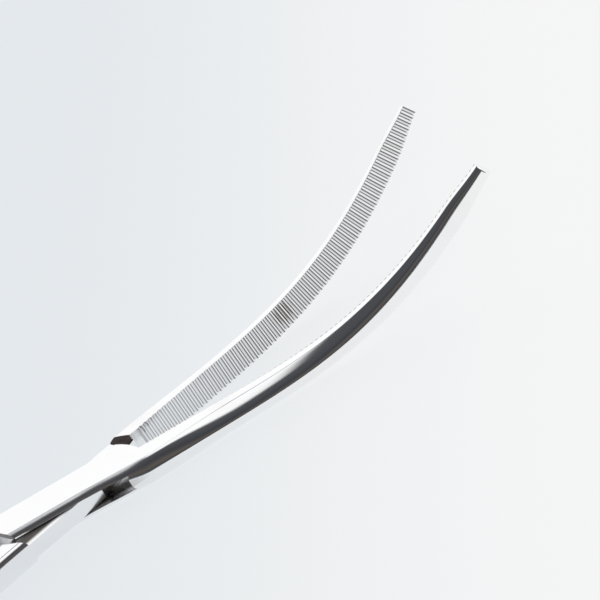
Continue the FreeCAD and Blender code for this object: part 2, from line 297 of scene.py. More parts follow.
@dataclass(frozen=True)
class Flank:
    """One side of the closed body: its reach from the middle and the rounding of its edges."""

    waist: float = HALF_WAIST
    shoulder: float = HALF_SHOULDER
    edge_round: float = EDGE_ROUND
    shoulder_round: float = 1.5
    waist_front: float = 5.0
    flare_length: float = 1.5

    @property
    def crowned(self) -> bool:
        """True where the edges are rounder at the shoulders, which leaves less of a flat."""
        return self.shoulder_round > self.edge_round


@dataclass(frozen=True)
class ClosedBody:
    """Box lock and closed jaws as one body, before the two halves are divided."""

    low: Flank = Flank()
    high: Flank = Flank()
    taper_start: float = 10.6
    tip_depth: float = 1.35
    tip_face: float = 2.7
    shaped_by: float = 24.0
    back_flat: float = 0.42
    back_land: float = 0.12
    tip_round: float = 0.9
    tip_shoulder: float = 0.4
    nose_length: float = 6.5
    nose_narrowing: float = 0.28
    jaw_fullness: float = 1.3
    crown_start: float = 4.0
    crown_length: float = 6.0
    crown_fades_from: float = 0.35
    spacing: float = 0.3
    nose_rows: int = 10
    line: JawLine = field(default_factory=JawLine)

    def build(self, name: str) -> bpy.types.Object:
        """Makes the body as one surface of distance along by place round the section.

        The depth falls in a straight line from the shoulders to the tips, the face narrows
        with the square of the distance and once more over the nose, and the corners grow from
        the waist's small rounding to the jaws' crowned backs by smooth steps. The last
        millimetre is held inside a round-nosed bar.

        Args:
            name: Name of the object.

        Returns:
            The closed body.
        """
        length = self.line.length
        rows = int(round((length + BOX_REAR) / self.spacing))
        along = np.linspace(-BOX_REAR, length, rows)
        nose = length - self.tip_round * (1 - np.sin(np.linspace(0, math.pi / 2, self.nose_rows)))
        along = np.unique(np.concatenate([along[along < nose[0]], nose]))
        share = np.clip((along - self.taper_start) / (length - self.taper_start), 0.0, None)
        shaped = eased((along - self.taper_start) / (self.shaped_by - self.taper_start))
        half_height = (THICKNESS + (self.tip_face - THICKNESS) * share**2) / 2
        narrowed = eased((along - length + self.nose_length) / self.nose_length)
        half_height = half_height * (1 - self.nose_narrowing * narrowed)
        sides = []
        for flank in (self.low, self.high):
            flared = eased((along - flank.waist_front) / flank.flare_length)
            full = flank.shoulder + (self.tip_depth - flank.shoulder) * share
            depth = flank.waist + (full - flank.waist) * flared
            rounding = flank.edge_round + (flank.shoulder_round - flank.edge_round) * flared
            rounding = rounding + (full * (1 - self.back_flat) - rounding) * shaped
            land = np.maximum(half_height - flank.edge_round, 0.0)
            land = land + (half_height * self.back_land - land) * np.maximum(
                flared * flank.crowned, shaped)
            sides.append((depth, rounding, land))
        faded = eased((share - self.crown_fades_from) / (1 - self.crown_fades_from))
        crowned = eased((along - self.crown_start) / self.crown_length) * (1 - faded)
        fullness = 2.0 + (self.jaw_fullness - 2.0) * crowned
        across, height = RoundedSection().points(*sides, half_height, fullness)
        bar = self.tip_depth + self.tip_shoulder
        into_nose = np.clip(along - (length - self.tip_round), 0.0, self.tip_round)
        limit = bar - self.tip_round + np.sqrt(self.tip_round**2 - into_nose**2)
        limit = np.where(into_nose > 0, limit, np.inf)[:, None]
        distance = np.hypot(across, height)
        held = np.minimum(1.0, limit / distance)
        return shell(name, self.line.place(along[:, None], height * held, across * held))


@dataclass(frozen=True)
class DividingLine:
    """The line between the halves, seen from above, with the serrations of one jaw in it."""

    bulge: float = 0.3
    first_groove: float = 11.5
    pitch: float = 0.75
    depth: float = 0.24
    land: float = 0.1
    clearance: float = 0.05
    reach: float = 4.5
    bow_points: int = 15
    line: JawLine = field(default_factory=JawLine)

    def levels(self, side: int) -> tuple[float, float]:
        """Offsets of the crests and of the grooves' floors on the jaw of one side."""
        crest = -side * (self.depth - self.clearance) / 2
        return crest, crest + side * self.depth

    def wall_end(self, half: Half) -> np.ndarray:
        """Bowed end of a box wall: a chord plus a parabola that stands out in its middle.

        It runs from the flank to the flat of the jaw face. That of the tongued half lies ahead
        of the wall's own by the gap between the halves.

        Args:
            half: The half whose face the end runs into.

        Returns:
            Rows of (distance along, offset).
        """
        chord = np.array([WALL_CORNER - WALL_POINT, HALF_SHOULDER])
        outward = np.array([chord[1], -chord[0]]) / np.hypot(*chord)
        face = half.side * LOCK_GAP / 2
        share = np.linspace(0.0, 1.0 - face / HALF_SHOULDER, self.bow_points)[:, None]
        shift = LOCK_GAP if half is Half.TONGUED else 0.0
        start = np.array([WALL_CORNER, HALF_SHOULDER]) + outward * shift
        return start - chord * share + outward * (4 * self.bulge * share * (1 - share))

    def serrations(self, crest: float, deepest: float, first: float) -> np.ndarray:
        """Corners of the teeth: four to a groove, repeated every pitch along the jaw.

        Args:
            crest: Offset of the crests.
            deepest: Offset of the grooves' floors.
            first: Distance from the pivot to the first groove.

        Returns:
            Rows of (distance along, offset).
        """
        half_land = self.land / 2
        mouth = half_land + (self.pitch - 2 * self.land) / 2
        centres = np.arange(first, self.line.length + self.pitch, self.pitch)
        steps = np.array([-mouth, -half_land, half_land, mouth])
        along = centres[:, None] + steps
        offsets = np.broadcast_to([crest, deepest, deepest, crest], along.shape)
        return np.stack([along, offsets], axis=-1).reshape(-1, 2)

    def front(self, half: Half) -> bpy.types.Object:
        """The space ahead of a box wall on the +Y side of one half's jaw face.

        For the tongued half this is what it keeps, and for the slotted half what it loses.

        Args:
            half: The half whose jaw face bounds the space.

        Returns:
            The space as a solid.
        """
        crest, deepest = self.levels(half.side)
        half_land, half_pitch = self.land / 2, self.pitch / 2
        first = self.first_groove if half is Half.TONGUED else self.first_groove + half_pitch
        step = self.first_groove - half_land - half_pitch
        before = np.array([
            [step, half.side * LOCK_GAP / 2], [step + TINY, deepest],
            [self.first_groove - half_pitch + half_land, deepest],
            [self.first_groove - half_land, crest]])
        if half is Half.TONGUED:
            before = before[:1]
        teeth = self.serrations(crest, deepest, first)
        places = np.concatenate([self.wall_end(half), before, teeth])
        return self.space(f"{half.node}_front", places)

    def rear(self, half: Half) -> bpy.types.Object:
        """The plain space behind the box on the -Y side, as the front half a turn round.

        Args:
            half: The half whose shank it clears or keeps.

        Returns:
            The space as a solid.
        """
        flat_end = [self.line.bend_start, half.side * LOCK_GAP / 2]
        places = np.concatenate([self.wall_end(half), [flat_end]])
        space = self.space(f"{half.node}_rear", places)
        space.data.transform(Matrix.Rotation(math.pi, 4, "Z"))
        return space

    def space(self, name: str, places: np.ndarray) -> bpy.types.Object:
        """Solid between the line and a plane well outside, over the whole thickness.

        Args:
            name: Name of the object.
            places: The line's corners as (distance along, offset).

        Returns:
            The solid.
        """
        along = places[:, :1]
        offset = np.stack([places[:, 1], np.full(len(places), 2 * HALF_SHOULDER)], axis=-1)
        offset = offset[:, [0, 1, 1, 0]]
        across = np.array([-1.0, -1.0, 1.0, 1.0]) * self.reach
        return shell(name, self.line.place(along, across, offset))


@dataclass(frozen=True)
class LockParts:
    """The slot through the box, the tongue that fills it and the bore for the pivot."""

    slot_height: float = 2.1
    slot_end: float = 8.0
    slot_flare: float = 3.1
    tongue_clearance: float = 0.05
    tongue_relief: float = 2.9
    pin_radius: float = 1.5
    pin_clearance: float = 0.03
    bore_sides: int = 96
    wide: float = HALF_SHOULDER + OVERLAP

    def prism(self, name: str, outline: np.ndarray, half_height: float) -> bpy.types.Object:
        """Solid over a plan outline, from minus to plus half its height.

        Args:
            name: Name of the object.
            outline: Corners as (x, y).
            half_height: Half the height.

        Returns:
            The solid.
        """
        heights = np.array([[-half_height], [half_height]])
        return shell(name, np.stack(np.broadcast_arrays(*outline.T, heights), axis=-1))

    def slot(self) -> bpy.types.Object:
        """Slanted strip with a blind end on each flank."""
        slope = self.slot_flare / HALF_WAIST
        near = self.slot_end - (self.wide - HALF_WAIST) * slope
        far = self.slot_end + (self.wide + HALF_WAIST) * slope
        plan = np.array([
            (near, -self.wide), (far, self.wide), (-near, self.wide), (-far, -self.wide)])
        return self.prism("slot", plan, self.slot_height / 2)

    def tongue(self) -> bpy.types.Object:
        """Plan of the tongue, the same after half a turn, with its corner relieved."""
        far = WALL_POINT + LOCK_GAP
        plan = [
            (far, 0.0), (far, self.wide), (WALL_CORNER, self.wide),
            (-self.tongue_relief, self.wide), (-self.tongue_relief, HALF_WAIST),
        ]
        plan += [(-x, -y) for x, y in plan]
        return self.prism("tongue", np.array(plan), self.slot_height / 2 - self.tongue_clearance)

    def bore(self, clearance: float) -> bpy.types.Object:
        """Round bore about the pivot: a circle of the pin's radius plus a clearance."""
        angle = np.linspace(0.0, math.tau, self.bore_sides, endpoint=False)
        radius = self.pin_radius + clearance
        plan = np.stack([np.cos(angle), np.sin(angle)], axis=-1) * radius
        return self.prism("bore", plan, THICKNESS)


@dataclass(frozen=True)
class FingerRing:
    """Oval ring of rounded stock: four arcs, tangent to one another."""

    centre_x: float = -101.5
    centre_y: float = 22.0
    tilt: float = 8.5
    length: float = 24.4
    width: float = 19.6
    end_radius: float = 8.6
    stock: float = 3.78
    stock_round: float = 1.55
    stock_land: float = 0.35
    spacing: float = 0.5
    fewest: int = 8
    corner_steps: int = 8

    def axis(self) -> np.ndarray:
        """Direction of the long axis, from the ring towards the shank."""
        tilt = math.radians(self.tilt)
        return np.array([math.cos(tilt), -math.sin(tilt)])

    def inner_side(self) -> np.ndarray:
        """Point of the stock's middle on the side that faces the other ring."""
        forward = self.axis()
        return np.array([self.centre_x, self.centre_y]) + np.array(
            [forward[1], -forward[0]]) * (self.width / 2)

    def build(self, name: str) -> bpy.types.Object:
        """Carries the section round the oval.

        The oval's points are the hub of each arc plus its radius times the cosine and sine of
        an angle, and the section stands on that radius.

        Args:
            name: Name of the object.

        Returns:
            The ring.
        """
        half_length, half_width = self.length / 2, self.width / 2
        end_offset = half_length - self.end_radius
        side_radius = (end_offset**2 + half_width**2 - self.end_radius**2) / (
            2 * (half_width - self.end_radius))
        side_offset = side_radius - half_width
        half_side = math.atan2(end_offset, side_offset)
        half_end = math.pi / 2 - half_side
        arcs = [
            (end_offset, 0.0, self.end_radius, 0.0, half_end),
            (0.0, -side_offset, side_radius, math.pi / 2, half_side),
            (-end_offset, 0.0, self.end_radius, math.pi, half_end),
            (0.0, side_offset, side_radius, -math.pi / 2, half_side),
        ]
        strips = []
        for hub_x, hub_y, radius, middle, half_sweep in arcs:
            count = max(int(radius * half_sweep * 2 / self.spacing), self.fewest)
            angle = middle + np.linspace(-half_sweep, half_sweep, count, endpoint=False)
            strips.append(np.stack(np.broadcast_arrays(hub_x, hub_y, radius, angle)))
        hub_x, hub_y, radius, angle = np.concatenate(strips, axis=1)[..., None]
        edge = tuple(np.array([[self.stock / 2], [self.stock_round], [self.stock_land]]))
        across, height = RoundedSection(self.corner_steps).points(
            edge, edge, np.array([THICKNESS / 2]))
        long_part = hub_x + (radius + across) * np.cos(angle)
        short_part = hub_y + (radius + across) * np.sin(angle)
        forward = self.axis()
        grid = np.stack(np.broadcast_arrays(
            self.centre_x + long_part * forward[0] - short_part * forward[1],
            self.centre_y + long_part * forward[1] + short_part * forward[0],
            height), axis=-1)
        return shell(name, grid, looped_rows=True)


@dataclass(frozen=True)
class Shank:
    """One shank on the +Y side, from the box to the inner side of its ring."""

    stations: tuple[float, ...] = (25.0, 45.0, 70.0, 90.0)
    offsets: tuple[float, ...] = (2.4, 4.7, 8.3, 11.0)
    full_round: float = 1.25
    inner_round: float = 0.1
    sunk: float = 0.03
    sinking: float = 5.0
    rows: int = 190
    ring: FingerRing = field(default_factory=FingerRing)

    def build(self, name: str) -> bpy.types.Object:
        """Carries a rounded section along a smooth curve through the stations.

        Between two stations the curve is the cubic that has both places and both slopes, and
        a slope is that of the line through the neighbours. The section is square to the
        curve, and widens and rounds by a smooth step from the box to the first station. The
        last few millimetres sink a hair below the ring's flats, so that the two join cleanly.

        Args:
            name: Name of the object.

        Returns:
            The shank.
        """
        inner = LOCK_GAP / 2
        ring_side = self.ring.inner_side()
        knots = np.array([BOX_REAR, *self.stations, -ring_side[0]])
        values = np.array([(HALF_WAIST + inner) / 2, *self.offsets, ring_side[1]])
        slopes = np.gradient(values, knots)
        slopes[0] = 0.0
        slopes[-1] = math.tan(math.radians(self.ring.tilt))
        back = np.linspace(BOX_REAR, knots[-1], self.rows)
        low = np.clip(np.searchsorted(knots, back, side="right") - 1, 0, len(knots) - 2)
        span = knots[low + 1] - knots[low]
        share = (back - knots[low]) / span
        rise = eased(share)
        offset = (values[low] * (1 - rise) + values[low + 1] * rise
                  + span * share * (1 - share) * (
                      slopes[low] * (1 - share) - slopes[low + 1] * share))
        slope = np.gradient(offset, back)
        slope[0] = 0.0
        normal = np.stack([slope, np.ones_like(slope)], axis=-1)
        normal /= np.linalg.norm(normal, axis=1, keepdims=True)
        grown = eased((back - BOX_REAR) / (self.stations[0] - BOX_REAR))
        half = (HALF_WAIST - inner + (SHANK_WIDTH - HALF_WAIST + inner) * grown) / 2
        outer_round = EDGE_ROUND + (self.full_round - EDGE_ROUND) * grown
        inner_round = self.inner_round + (self.full_round - self.inner_round) * grown
        sinking = eased((back - self.stations[-1] + self.sinking) / self.sinking)
        half_height = THICKNESS / 2 - self.sunk * sinking
        across, height = RoundedSection().points(
            (half, inner_round, half_height - inner_round),
            (half, outer_round, half_height - outer_round), half_height)
        grid = np.stack([
            -back[:, None] + across * normal[:, :1],
            offset[:, None] + across * normal[:, 1:],
            height,
        ], axis=-1)
        return shell(name, grid)


@dataclass(frozen=True)
class RatchetBar:
    """Toothed bar across from the +Y shank, curved about the pivot."""

    radius: float = 80.0
    width: float = 4.4
    reach: float = 3.0
    root: float = 2.0
    gap: float = 0.1
    teeth: int = 4
    pitch: float = 1.3
    tooth: float = 0.5
    bar_thickness: float = 1.6
    shank_middle: float = 9.65
    edge: float = 0.14
    edge_angle: float = 50.0
    arc_rows: int = 12
    root_rows: int = 8

    def sector(
        self, name: str, offset: np.ndarray, low: np.ndarray, high: np.ndarray
    ) -> bpy.types.Object:
        """Arc of bar through offsets from the middle, each with its own low and high side.

        A point is the radius times minus the cosine and plus the sine of the offset over the
        mean radius.

        Args:
            name: Name of the object.
            offset: Offsets along the arc.
            low: Low side at each.
            high: High side at each.

        Returns:
            The arc, with small bevels along its edges.
        """
        radii = self.radius + np.array([-0.5, 0.5, 0.5, -0.5]) * self.width
        angle = (offset / self.radius)[:, None]
        heights = np.stack([low, low, high, high], axis=-1)
        grid = np.stack([-np.cos(angle) * radii, np.sin(angle) * radii, heights], axis=-1)
        piece = shell(name, grid)
        bevel = piece.modifiers.new("edges", "BEVEL")
        bevel.width = self.edge
        bevel.segments = 3
        bevel.limit_method = "ANGLE"
        bevel.angle_limit = math.radians(self.edge_angle)
        bevel.use_clamp_overlap = True
        settle(piece)
        return piece

    def build(self, name: str, level: int) -> bpy.types.Object:
        """Makes the bar and its full-height root.

        Args:
            name: Name of the object.
            level: -1 for the lower bar with its teeth above, 1 for the upper one.

        Returns:
            The bar.
        """
        near = self.gap / 2
        far = near + self.bar_thickness
        ends = -self.reach + self.pitch * np.arange(1, self.teeth + 1)
        starts = ends - self.pitch + TINY
        tooth_places = np.stack([starts, ends - TINY], axis=-1).ravel()
        tooth_depths = np.tile([0.0, self.tooth], self.teeth)
        rest = np.linspace(ends[-1], self.shank_middle, self.arc_rows)
        offset = np.concatenate([tooth_places, rest])
        depth = np.concatenate([tooth_depths, np.zeros_like(rest)])
        crest = level * (near + depth)
        back = np.full_like(offset, level * far)
        low, high = (crest, back) if level > 0 else (back, crest)
        bar = self.sector(name, offset, low, high)
        side = self.shank_middle - SHANK_WIDTH / 2 - self.root
        places = np.linspace(side, self.shank_middle, self.root_rows)
        whole = np.full_like(places, far)
        block = self.sector(f"{name}_root", places, -whole, whole)
        combine(bar, block, Operation.JOIN)
        return bar


@dataclass(frozen=True)
class NodeGraph:
    """Nodes of a material or of the world, with the few kinds of step that the looks need."""

    nodes: bpy.types.Nodes
    links: bpy.types.NodeLinks

    @classmethod
    def of(cls, owner: bpy.types.Material | bpy.types.World) -> "NodeGraph":
        """Turns on the nodes of a material or world and takes hold of them."""
        owner.use_nodes = True
        return cls(owner.node_tree.nodes, owner.node_tree.links)

    def feed(self, entry: Socket, source: Feed) -> None:
        """Links a socket into an input, or sets the input to a plain value or colour.

        Args:
            entry: The input.
            source: A socket, a number, or three numbers.
        """
        if isinstance(source, Socket):
            self.links.new(source, entry)
        elif entry.type == "RGBA":
            entry.default_value = (*source, 1.0)
        else:
            entry.default_value = source

    def add(
        self, kind: str, feeds: dict[int | str, Feed], result: int | str = 0, **settings: str
    ) -> Socket:
        """Adds a node, sets it up and feeds its inputs.

        Args:
            kind: Type of the node, without the beginning that all types share.
            feeds: What goes into each input, by the input's name or place.
            result: Name or place of the output that is wanted.
            **settings: The node's own settings.

        Returns:
            Socket of the output.
        """
        node = self.nodes.new(f"ShaderNode{kind}")
        for name, value in settings.items():
            setattr(node, name, value)
        for entry, source in feeds.items():
            self.feed(node.inputs[entry], source)
        return node.outputs[result]

    def parts(self, vector: Socket) -> tuple[Socket, ...]:
        """Sockets of a vector's three parts."""
        node = self.nodes.new("ShaderNodeSeparateXYZ")
        self.links.new(vector, node.inputs[0])
        return tuple(node.outputs)

    def ramp(self, value: Socket, ends: tuple[float, ...]) -> Socket:
        """Value brought to 0 to 1 between two ends, by a smooth step."""
        return self.add(
            "MapRange", {"Value": value, "From Min": ends[0], "From Max": ends[1]}, "Result",
            interpolation_type="SMOOTHSTEP")

    def scaled(self, value: Socket, factor: float, offset: Feed = 0.0) -> Socket:
        """Value times a factor plus an offset."""
        return self.add("Math", {0: value, 1: factor, 2: offset}, operation="MULTIPLY_ADD")

    def joined(self, operation: str, *values: Socket) -> Socket:
        """Puts values together, one after another, by a named operation.

        Args:
            operation: Name of the operation.
            *values: Sockets of the values.

        Returns:
            Socket of the result.
        """
        result = values[0]
        for value in values[1:]:
            result = self.add("Math", {0: result, 1: value}, operation=operation)
        return result

    def mixed(self, share: Socket, base: Feed, colour: Feed) -> Socket:
        """Colour with a share of another mixed in."""
        return self.add(
            "Mix", {"Factor": share, "A": base, "B": colour}, "Result", data_type="RGBA")

    def along(self, vector: Socket, direction: Feed) -> Socket:
        """Part of a vector along a direction."""
        return self.add("VectorMath", {0: vector, 1: direction}, "Value", operation="DOT_PRODUCT")

    def noise(self, place: Socket, scale: tuple[float, ...], detail: float) -> Socket:
        """Noise whose pattern is stretched by a scale for each axis."""
        stretched = self.add("Mapping", {"Vector": place, "Scale": scale}, "Vector")
        return self.add("TexNoise", {"Vector": stretched, "Scale": 1.0, "Detail": detail}, "Fac")


@dataclass(frozen=True)
class SteelFinish:
    """Polished instrument steel with fine polishing marks, painted shade in its grooves and box
    lock, and faint stains.

    Places and stretches are in millimetres in the half's own closed position, with heights from
    the floor. Levels are shares of a groove's depth, and facings the normal's part along a
    direction. Each pair gives where a share is still 0 and from where it is 1.
    """

    name: str
    colour: Colour = (0.95, 0.95, 0.955)
    stain: Colour = (0.10, 0.055, 0.030)
    # Painted shade on the walls of the serrations.
    groove: Colour = (0.09, 0.09, 0.095)
    # Painted shade inside the box lock, tinted brown: in the slot and on the end faces.
    recess_shade: Colour = (0.070, 0.062, 0.054)
    end_face_shade: Colour = (0.30, 0.245, 0.23)
    roughness: float = 0.11
    satin: float = 0.08
    satin_stretch: Stretch = (12.5, 8.0)
    haze: float = 0.05
    haze_ends: Stretch = (0.60, 0.78)
    haze_scale: Triple = (150.0, 150.0, 150.0)
    clouding: float = 0.05
    cloud_scale: Triple = (420.0, 420.0, 420.0)
    marks: float = 0.004
    mark_depth: float = 0.5
    mark_scale: Triple = (900.0, 9000.0, 9000.0)
    stain_place: Triple = (34.0, 0.1, 2.6)
    stain_stretch: Stretch = (1.9, 0.76)
    # These place the painted shade in the serrations: by depth, along the jaw and by facing.
    wall_levels: Stretch = (0.06, 0.4)
    bottom_levels: Stretch = (0.45, 0.85)
    bottom_shine: float = 0.8
    back_stretch: Stretch = (0.024, 0.004)
    box_walls: float = 0.6
    tip_walls: float = 0.04
    wall_gain: float = 0.4
    grooved_stretch: Stretch = (11.0, 11.2)
    rooted_stretch: Stretch = (12.0, 30.0)
    outer_stretch: Stretch = (18.0, 45.0)
    box_facing: Stretch = (0.2, -0.2)
    # These place the painted shade inside the box lock, and dull its end faces.
    up_facing: Stretch = (0.6, 0.8)
    end_normal: Triple = (-0.765, -0.644, 0.0)
    end_facing: Stretch = (0.66, 0.86)
    end_dullness: float = 0.9
    box_stretch: Stretch = (10.3, 9.9)
    slot_top_stretch: Stretch = (3.0, 2.9)
    near_side_stretch: Stretch = (1.0, -1.0)
    lip_stretch: Stretch = (-2.7, -1.9)
    swing: float = 0.0
    face_side: int = 0

    def material(self) -> bpy.types.Material:
        """Builds the finish from nodes on Object coordinates.

        The halves, which have a jaw face on one side, also get painted shade in their grooves and
        inside the box lock, and its satin outside. The end faces in the lock are dull, not
        polished.

        Returns:
            The material.
        """
        finish = bpy.data.materials.new(self.name)
        graph = NodeGraph.of(finish)
        where = graph.nodes.new("ShaderNodeTexCoord").outputs
        place = self.swung(graph, where["Object"], "POINT")
        normal = self.swung(graph, where["Normal"], "NORMAL")

        stained = graph.ramp(graph.noise(place, self.haze_scale, 3.0), self.haze_ends)
        colour = graph.mixed(graph.scaled(stained, self.haze), self.colour, self.stain)
        cloudy = graph.noise(place, self.cloud_scale, 4.0)
        rough = graph.scaled(cloudy, self.clouding, self.roughness - self.clouding / 2)
        metallic = 1.0
        if self.face_side:
            # Painted shade on the walls of the serrations.
            colour = self.with_groove_shade(graph, place, normal, colour)
            # Painted shade inside the box lock, tinted brown: on the end faces and in the slot.
            ends, floors = self.painted_recess_shade(graph, place, normal)
            colour = graph.mixed(ends, colour, self.end_face_shade)
            colour = graph.mixed(floors, colour, self.recess_shade)
            metallic = graph.scaled(ends, -self.end_dullness, 1.0)
            box = graph.ramp(graph.parts(place)[0], metres(self.satin_stretch))
            rough = graph.scaled(box, self.satin, rough)
        bump = graph.add("Bump", {
            "Strength": self.marks,
            "Distance": self.mark_depth * METRES_PER_MM,
            "Height": graph.noise(place, self.mark_scale, 2.0),
        }, "Normal")
        shader = graph.nodes["Principled BSDF"].inputs
        graph.feed(shader["Base Color"], colour)
        graph.feed(shader["Metallic"], metallic)
        graph.feed(shader["Roughness"], rough)
        graph.feed(shader["Normal"], bump)
        return finish

    def dress(self, piece: bpy.types.Object) -> None:
        """Gives a piece this finish in place of all that it had."""
        piece.data.materials.clear()
        piece.data.materials.append(self.material())

    def swung(self, graph: NodeGraph, vector: Socket, kind: str) -> Socket:
        """Vector turned back to the half's own closed position."""
        return graph.add(
            "Mapping", {"Vector": vector, "Rotation": (0.0, 0.0, -self.swing)}, "Vector",
            vector_type=kind)

    def with_groove_shade(
        self, graph: NodeGraph, place: Socket, normal: Socket, colour: Socket
    ) -> Socket:
        """The painted shade is darkest on the walls that face the box, and falls on those that
        face the tips far out only.

        The walls that face the box darken most, and those that face the tips far out only.

        Args:
            graph: The material's nodes.
            place: Socket of the place in the half's own closed position.
            normal: Socket of the normal in the same position.
            colour: Socket of the colour so far.

        Returns:
            Socket of the new colour.
        """
        along, offset, _ = graph.parts(place)
        crest, floor = metres(DividingLine().levels(self.face_side))
        depth = floor - crest
        wall = graph.ramp(offset, tuple(crest + depth * level for level in self.wall_levels))
        bottom = graph.ramp(offset, tuple(crest + depth * level for level in self.bottom_levels))
        short_of_back = graph.ramp(
            offset, tuple(floor + self.face_side * past for past in metres(self.back_stretch)))
        grooved = graph.ramp(along, metres(self.grooved_stretch))
        to_box = graph.ramp(graph.parts(normal)[0], self.box_facing)
        rooted = graph.scaled(
            graph.ramp(along, metres(self.rooted_stretch)), self.wall_gain, self.box_walls)
        outer = graph.scaled(
            graph.ramp(along, metres(self.outer_stretch)), self.wall_gain, self.tip_walls)
        away = graph.add(
            "VectorMath", {0: place, 1: metres(self.stain_place)}, "Value", operation="DISTANCE")
        spot = graph.ramp(away, metres(self.stain_stretch))
        strength = graph.joined("MAXIMUM", graph.joined("MULTIPLY", to_box, rooted), outer, spot)
        share = graph.joined(
            "MULTIPLY", wall, graph.scaled(bottom, -self.bottom_shine, 1.0), strength,
            graph.joined("MULTIPLY", short_of_back, grooved))
        # Painted shade: the serration walls are darkened, most where they face the box.
        groove_shaded = graph.mixed(share, colour, self.groove)
        return graph.mixed(graph.joined("MULTIPLY", share, spot), groove_shaded, self.stain)

    def painted_recess_shade(
        self, graph: NodeGraph, place: Socket, normal: Socket
    ) -> tuple[Socket, Socket]:
        """Shares of painted shade, tinted brown, in the gaps inside the box lock that lie in
        shadow.

        It lies on the end faces, whose normals point along the shoulder's own, and on the
        slot's floor and the tongue on the -Y side, which face up at or below the slot's top.
        The outer lip of the slot's floor is left out of the painted shade.

        Args:
            graph: The material's nodes.
            place: Socket of the place in the half's own closed position.
            normal: Socket of the normal in the same position.

        Returns:
            Sockets of the two shares of painted shade: end faces, and the faces in the slot.
        """
        along, offset, height = graph.parts(place)
        turned_away = graph.ramp(graph.along(normal, self.end_normal), self.end_facing)
        distance = graph.add("Math", {0: along}, operation="ABSOLUTE")
        inside = graph.ramp(distance, metres(self.box_stretch))
        # Painted shade on the slot's floor and the tongue beside it, short of the outer lip.
        floors = graph.joined(
            "MULTIPLY",
            graph.ramp(graph.parts(normal)[2], self.up_facing),
            graph.ramp(height, metres(self.slot_top_stretch)),
            graph.ramp(offset, metres(self.near_side_stretch)),
            graph.ramp(offset, metres(self.lip_stretch)),
            inside)
        return graph.joined("MULTIPLY", turned_away, inside), floors


@dataclass(frozen=True)
class ForcepsHalf:
    """One forged half with its jaw, its part of the box lock, shank, ratchet bar and ring."""

    half: Half
    resting_angle: float = 21.4
    lift: float = THICKNESS / 2
    sharp_angle: float = 28.0
    divide: DividingLine = field(default_factory=DividingLine)
    lock: LockParts = field(default_factory=LockParts)
    shank: Shank = field(default_factory=Shank)
    bar: RatchetBar = field(default_factory=RatchetBar)

    @property
    def swing(self) -> float:
        """Turn from the closed position to rest, in radians."""
        return math.radians(self.half.side * self.resting_angle / 2)

    @property
    def body(self) -> ClosedBody:
        """The closed body with this half's own flanks."""
        if self.half is Half.SLOTTED:
            wall = Flank(waist=3.15, shoulder=3.75, edge_round=0.35, shoulder_round=0.35)
            outer = Flank(shoulder=3.75, shoulder_round=1.15, waist_front=1.0, flare_length=9.6)
            return ClosedBody(low=outer, high=wall)
        return ClosedBody(high=Flank(shoulder=3.2, shoulder_round=1.2))

    def front(self) -> bpy.types.Object:
        """Makes the jaw and the half's part of the box lock.

        Returns:
            The front of the half, closed.
        """
        piece = self.body.build(f"{self.half.node}_steel")
        if self.half is Half.SLOTTED:
            for tool in (self.divide.front(self.half), self.divide.rear(self.half),
                         self.lock.slot(), self.lock.bore(0.0)):
                combine(piece, tool, Operation.CUT)
            return piece
        rear = self.body.build("tongued_rear")
        tongue = self.body.build("tongued_tongue")
        combine(piece, self.divide.front(self.half), Operation.KEEP_SHARED)
        combine(rear, self.divide.rear(self.half), Operation.KEEP_SHARED)
        combine(tongue, self.lock.tongue(), Operation.KEEP_SHARED)
        combine(tongue, self.lock.bore(self.lock.pin_clearance), Operation.CUT)
        combine(piece, tongue, Operation.JOIN)
        combine(piece, rear, Operation.JOIN)
        return piece

    def handle(self) -> list[bpy.types.Object]:
        """Makes the shank, ring and ratchet bar on the half's own side.

        Returns:
            The three pieces.
        """
        pieces = [
            self.shank.build(f"{self.half.node}_shank"),
            self.shank.ring.build(f"{self.half.node}_ring"),
            self.bar.build(f"{self.half.node}_bar", self.half.side),
        ]
        if self.half is Half.TONGUED:
            for piece in pieces:
                piece.data.transform(Matrix.Scale(-1.0, 4, (0.0, 1.0, 0.0)))
                piece.data.flip_normals()
        return pieces

    def build(self) -> bpy.types.Object:
        """Joins the pieces into one, brings it to rest and dresses it.

        Returns:
            The finished half.
        """
        piece = self.front()
        for part in self.handle():
            combine(piece, part, Operation.JOIN)
        mesh = piece.data
        mesh.transform(
            Matrix.Scale(METRES_PER_MM, 4)
            @ Matrix.Translation((0.0, 0.0, self.lift))
            @ Matrix.Rotation(self.swing, 4, "Z"))
        mesh.polygons.foreach_set("use_smooth", np.ones(len(mesh.polygons), dtype=bool))
        mesh.set_sharp_from_angle(angle=math.radians(self.sharp_angle))
        evened = piece.modifiers.new("even_shading", "WEIGHTED_NORMAL")
        evened.keep_sharp = True
        settle(piece)
        finish = SteelFinish(
            name=f"{self.half.node}_polish", swing=self.swing, face_side=self.half.side)
        finish.dress(piece)
        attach(piece, self.half.body)
        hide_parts(self.half.node)
        return piece


